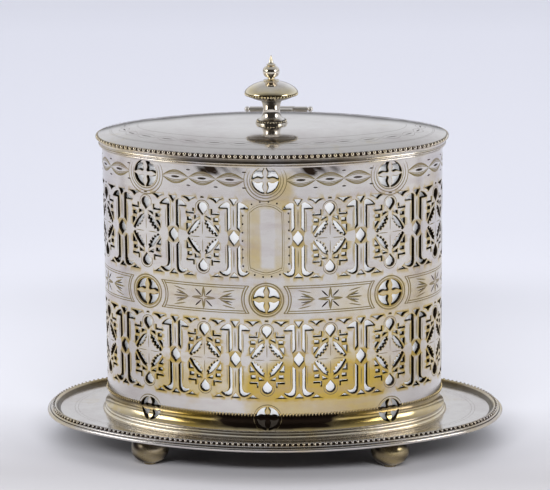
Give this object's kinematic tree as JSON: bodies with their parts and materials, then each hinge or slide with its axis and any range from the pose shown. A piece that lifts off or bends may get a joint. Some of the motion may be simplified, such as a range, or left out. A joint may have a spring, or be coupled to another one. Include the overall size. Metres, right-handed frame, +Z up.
{
  "type": "biscuit box",
  "caption": "Oval pierced metal biscuit box standing on a beaded tray with bun feet, with a hinged domed lid, a turned finial and a lift-out opal glass liner.",
  "frame": {"origin": "on the table under the middle of the tray", "axes": "+X along the length of the oval, +Y towards the hinge at the back, +Z up"},
  "size_m": [0.2406, 0.1516, 0.2068],
  "materials": {
    "silver_plate": "polished, lightly worn silver plate",
    "inner_plate": "dull plated sheet",
    "bare_brass": "plain turned brass",
    "opal_glass": "smooth white opal glass"
  },
  "bodies": {
    "box": {"tray_plate": "silver_plate", "tray_border": "silver_plate", "tray_beads": "silver_plate", "foot_front_left": "silver_plate", "foot_front_right": "silver_plate", "foot_rear_left": "silver_plate", "foot_rear_right": "silver_plate", "base_moulding": "silver_plate", "body_floor": "inner_plate", "body_wall": "silver_plate", "rim_wire": "silver_plate", "base_screw_left": "bare_brass", "base_screw_right": "bare_brass", "base_screw_front": "bare_brass", "base_screw_rear": "bare_brass", "hinge_body_leaf": "silver_plate", "hinge_pin": "silver_plate"},
    "lid": {"lid_plate": "silver_plate", "lid_border": "silver_plate", "lid_beads": "silver_plate", "lid_bezel": "silver_plate", "hinge_lid_leaf": "silver_plate", "finial_foot": "silver_plate", "finial_cap": "silver_plate", "finial_tip": "silver_plate", "finial_stud": "bare_brass", "finial_washer": "bare_brass", "finial_nut": "bare_brass"},
    "liner": {"liner": "opal_glass"}
  },
  "joints": [
    {"name": "lid_hinge", "type": "hinge", "parent": "box", "child": "lid", "pos_m": [0, 0.0606, 0.1672], "axis": [-1, 0, 0], "range_deg": [0, 105]},
    {"name": "liner_lift", "type": "slide", "parent": "box", "child": "liner", "axis": [0, 0, 1], "range_m": [0, 0.002]}
  ]
}
